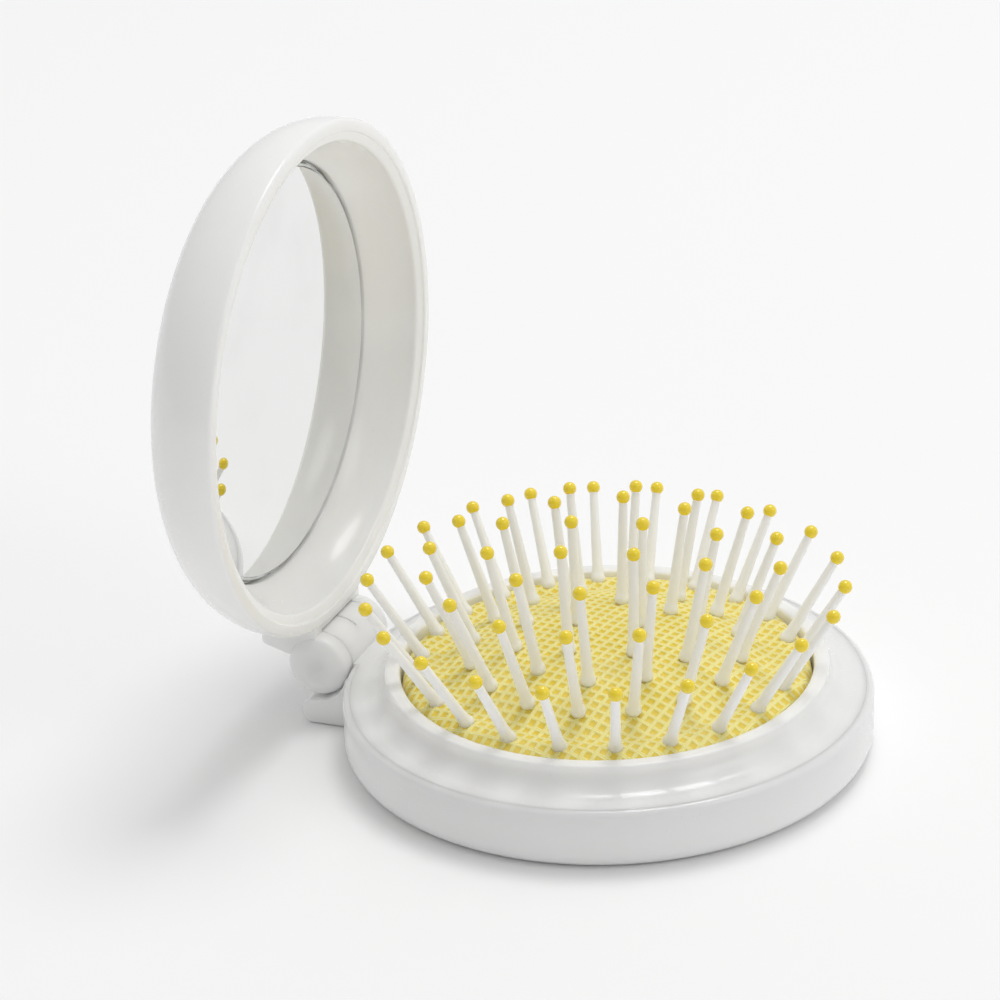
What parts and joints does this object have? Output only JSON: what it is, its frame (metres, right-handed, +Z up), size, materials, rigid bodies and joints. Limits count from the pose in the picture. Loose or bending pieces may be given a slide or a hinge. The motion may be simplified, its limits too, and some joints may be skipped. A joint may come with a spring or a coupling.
{
  "type": "folding hairbrush with mirror",
  "caption": "Round pocket hairbrush whose lid holds a mirror; opening the hinged lid raises a domed cushion of ball-tipped pins out of the base.",
  "frame": {"origin": "centre of the base on the plane that it stands on", "axes": "+Z up, +Y from the middle of the base towards the hinge, +X along the hinge axis, so the front of the brush faces -Y"},
  "size_m": [0.0644, 0.0786, 0.0749],
  "materials": {
    "white_shell": "glossy white, slightly translucent moulded plastic",
    "pad_rubber": "yellow rubber embossed with a basket weave",
    "inner_white": "plain white moulded plastic",
    "pin_nylon": "translucent white nylon with a glossy yellow ball tip",
    "steel": "drawn steel wire",
    "mirror": "silvered float glass",
    "foam": "double-sided foam tape"
  },
  "bodies": {
    "root": {"base_shell": "white_shell", "top_ring": "white_shell", "cushion_pad": "pad_rubber"},
    "plunger": {"push_plate": "inner_white", "pins_ring_1": "pin_nylon", "pins_ring_2": "pin_nylon"},
    "middle_ring": {"middle_pin_ring": "inner_white", "pins_ring_3": "pin_nylon"},
    "outer_ring": {"outer_pin_ring": "inner_white"},
    "lid": {"lid_shell": "white_shell", "mirror_glass": "mirror", "mirror_foam": "foam", "hinge_pin": "steel"},
    "outer_pin_01": {"outer_pin_01": "pin_nylon"},
    "outer_pin_02": {"outer_pin_02": "pin_nylon"},
    "outer_pin_03": {"outer_pin_03": "pin_nylon"},
    "outer_pin_04": {"outer_pin_04": "pin_nylon"},
    "outer_pin_05": {"outer_pin_05": "pin_nylon"},
    "outer_pin_06": {"outer_pin_06": "pin_nylon"},
    "outer_pin_07": {"outer_pin_07": "pin_nylon"},
    "outer_pin_08": {"outer_pin_08": "pin_nylon"},
    "outer_pin_09": {"outer_pin_09": "pin_nylon"},
    "outer_pin_10": {"outer_pin_10": "pin_nylon"},
    "outer_pin_11": {"outer_pin_11": "pin_nylon"},
    "outer_pin_12": {"outer_pin_12": "pin_nylon"},
    "outer_pin_13": {"outer_pin_13": "pin_nylon"},
    "outer_pin_14": {"outer_pin_14": "pin_nylon"},
    "outer_pin_15": {"outer_pin_15": "pin_nylon"},
    "outer_pin_16": {"outer_pin_16": "pin_nylon"},
    "outer_pin_17": {"outer_pin_17": "pin_nylon"},
    "outer_pin_18": {"outer_pin_18": "pin_nylon"},
    "outer_pin_19": {"outer_pin_19": "pin_nylon"},
    "outer_pin_20": {"outer_pin_20": "pin_nylon"},
    "outer_pin_21": {"outer_pin_21": "pin_nylon"},
    "outer_pin_22": {"outer_pin_22": "pin_nylon"}
  },
  "joints": [
    {"name": "lid_close", "type": "hinge", "parent": "root", "child": "lid", "pos_m": [0, 0.0357, 0.00765], "axis": [1, 0, 0], "range_deg": [0, 88.02]},
    {"name": "push_button", "type": "slide", "parent": "root", "child": "plunger", "axis": [0, 0, 1], "range_m": [-0.01352, 0], "deforming": ["cushion_pad"]},
    {"name": "middle_ring_drop", "type": "slide", "parent": "root", "child": "middle_ring", "axis": [0, 0, 1], "range_m": [-0.01206, 0]},
    {"name": "outer_ring_drop", "type": "slide", "parent": "root", "child": "outer_ring", "axis": [0, 0, 1], "range_m": [-0.00984, 0]},
    {"name": "outer_pin_01_tilt", "type": "hinge", "parent": "outer_ring", "child": "outer_pin_01", "pos_m": [0.02021, 0.00212, 0.00724], "axis": [-0.1045, 0.9945, 0], "range_deg": [-21.91, 0]},
    {"name": "outer_pin_02_tilt", "type": "hinge", "parent": "outer_ring", "child": "outer_pin_02", "pos_m": [0.0188, 0.00773, 0.00724], "axis": [-0.3805, 0.9248, 0], "range_deg": [-21.91, 0]},
    {"name": "outer_pin_03_tilt", "type": "hinge", "parent": "outer_ring", "child": "outer_pin_03", "pos_m": [0.01586, 0.01272, 0.00724], "axis": [-0.6256, 0.7801, 0], "range_deg": [-21.91, 0]},
    {"name": "outer_pin_04_tilt", "type": "hinge", "parent": "outer_ring", "child": "outer_pin_04", "pos_m": [0.01163, 0.01667, 0.00724], "axis": [-0.8201, 0.5723, 0], "range_deg": [-21.91, 0]},
    {"name": "outer_pin_05_tilt", "type": "hinge", "parent": "outer_ring", "child": "outer_pin_05", "pos_m": [0.00646, 0.01927, 0.00724], "axis": [-0.9481, 0.3181, 0], "range_deg": [-21.91, 0]},
    {"name": "outer_pin_06_tilt", "type": "hinge", "parent": "outer_ring", "child": "outer_pin_06", "pos_m": [0.00077, 0.02031, 0.00724], "axis": [-0.9993, 0.0381, 0], "range_deg": [-21.91, 0]},
    {"name": "outer_pin_07_tilt", "type": "hinge", "parent": "outer_ring", "child": "outer_pin_07", "pos_m": [-0.00498, 0.01971, 0.00724], "axis": [-0.9695, -0.245, 0], "range_deg": [-21.91, 0]},
    {"name": "outer_pin_08_tilt", "type": "hinge", "parent": "outer_ring", "child": "outer_pin_08", "pos_m": [-0.01033, 0.01751, 0.00724], "axis": [-0.8612, -0.5082, 0], "range_deg": [-21.91, 0]},
    {"name": "outer_pin_09_tilt", "type": "hinge", "parent": "outer_ring", "child": "outer_pin_09", "pos_m": [-0.01484, 0.01389, 0.00724], "axis": [-0.6832, -0.7303, 0], "range_deg": [-21.91, 0]},
    {"name": "outer_pin_10_tilt", "type": "hinge", "parent": "outer_ring", "child": "outer_pin_10", "pos_m": [-0.01815, 0.00914, 0.00724], "axis": [-0.4497, -0.8932, 0], "range_deg": [-21.91, 0]},
    {"name": "outer_pin_11_tilt", "type": "hinge", "parent": "outer_ring", "child": "outer_pin_11", "pos_m": [-0.01999, 0.00366, 0.00724], "axis": [-0.1799, -0.9837, 0], "range_deg": [-21.91, 0]},
    {"name": "outer_pin_12_tilt", "type": "hinge", "parent": "outer_ring", "child": "outer_pin_12", "pos_m": [-0.02021, -0.00212, 0.00724], "axis": [0.1045, -0.9945, 0], "range_deg": [-21.91, 0]},
    {"name": "outer_pin_13_tilt", "type": "hinge", "parent": "outer_ring", "child": "outer_pin_13", "pos_m": [-0.0188, -0.00773, 0.00724], "axis": [0.3805, -0.9248, 0], "range_deg": [-21.91, 0]},
    {"name": "outer_pin_14_tilt", "type": "hinge", "parent": "outer_ring", "child": "outer_pin_14", "pos_m": [-0.01586, -0.01272, 0.00724], "axis": [0.6256, -0.7801, 0], "range_deg": [-21.91, 0]},
    {"name": "outer_pin_15_tilt", "type": "hinge", "parent": "outer_ring", "child": "outer_pin_15", "pos_m": [-0.01163, -0.01667, 0.00724], "axis": [0.8201, -0.5723, 0], "range_deg": [-21.91, 0]},
    {"name": "outer_pin_16_tilt", "type": "hinge", "parent": "outer_ring", "child": "outer_pin_16", "pos_m": [-0.00646, -0.01927, 0.00724], "axis": [0.9481, -0.3181, 0], "range_deg": [-21.91, 0]},
    {"name": "outer_pin_17_tilt", "type": "hinge", "parent": "outer_ring", "child": "outer_pin_17", "pos_m": [-0.00077, -0.02031, 0.00724], "axis": [0.9993, -0.0381, 0], "range_deg": [-21.91, 0]},
    {"name": "outer_pin_18_tilt", "type": "hinge", "parent": "outer_ring", "child": "outer_pin_18", "pos_m": [0.00498, -0.01971, 0.00724], "axis": [0.9695, 0.245, 0], "range_deg": [-21.91, 0]},
    {"name": "outer_pin_19_tilt", "type": "hinge", "parent": "outer_ring", "child": "outer_pin_19", "pos_m": [0.01033, -0.01751, 0.00724], "axis": [0.8612, 0.5082, 0], "range_deg": [-21.91, 0]},
    {"name": "outer_pin_20_tilt", "type": "hinge", "parent": "outer_ring", "child": "outer_pin_20", "pos_m": [0.01484, -0.01389, 0.00724], "axis": [0.6832, 0.7303, 0], "range_deg": [-21.91, 0]},
    {"name": "outer_pin_21_tilt", "type": "hinge", "parent": "outer_ring", "child": "outer_pin_21", "pos_m": [0.01815, -0.00914, 0.00724], "axis": [0.4497, 0.8932, 0], "range_deg": [-21.91, 0]},
    {"name": "outer_pin_22_tilt", "type": "hinge", "parent": "outer_ring", "child": "outer_pin_22", "pos_m": [0.01999, -0.00366, 0.00724], "axis": [0.1799, 0.9837, 0], "range_deg": [-21.91, 0]}
  ],
  "couplings": [
    {"joint": "lid_close", "follows": "push_button", "rad_per_m": -113.6},
    {"joint": "middle_ring_drop", "follows": "push_button", "ratio": 0.89127},
    {"joint": "outer_ring_drop", "follows": "push_button", "ratio": 0.72707},
    {"joint": "outer_pin_01_tilt", "follows": "push_button", "rad_per_m": 28.271},
    {"joint": "outer_pin_02_tilt", "follows": "push_button", "rad_per_m": 28.271},
    {"joint": "outer_pin_03_tilt", "follows": "push_button", "rad_per_m": 28.271},
    {"joint": "outer_pin_04_tilt", "follows": "push_button", "rad_per_m": 28.271},
    {"joint": "outer_pin_05_tilt", "follows": "push_button", "rad_per_m": 28.271},
    {"joint": "outer_pin_06_tilt", "follows": "push_button", "rad_per_m": 28.271},
    {"joint": "outer_pin_07_tilt", "follows": "push_button", "rad_per_m": 28.271},
    {"joint": "outer_pin_08_tilt", "follows": "push_button", "rad_per_m": 28.271},
    {"joint": "outer_pin_09_tilt", "follows": "push_button", "rad_per_m": 28.271},
    {"joint": "outer_pin_10_tilt", "follows": "push_button", "rad_per_m": 28.271},
    {"joint": "outer_pin_11_tilt", "follows": "push_button", "rad_per_m": 28.271},
    {"joint": "outer_pin_12_tilt", "follows": "push_button", "rad_per_m": 28.271},
    {"joint": "outer_pin_13_tilt", "follows": "push_button", "rad_per_m": 28.271},
    {"joint": "outer_pin_14_tilt", "follows": "push_button", "rad_per_m": 28.271},
    {"joint": "outer_pin_15_tilt", "follows": "push_button", "rad_per_m": 28.271},
    {"joint": "outer_pin_16_tilt", "follows": "push_button", "rad_per_m": 28.271},
    {"joint": "outer_pin_17_tilt", "follows": "push_button", "rad_per_m": 28.271},
    {"joint": "outer_pin_18_tilt", "follows": "push_button", "rad_per_m": 28.271},
    {"joint": "outer_pin_19_tilt", "follows": "push_button", "rad_per_m": 28.271},
    {"joint": "outer_pin_20_tilt", "follows": "push_button", "rad_per_m": 28.271},
    {"joint": "outer_pin_21_tilt", "follows": "push_button", "rad_per_m": 28.271},
    {"joint": "outer_pin_22_tilt", "follows": "push_button", "rad_per_m": 28.271}
  ]
}
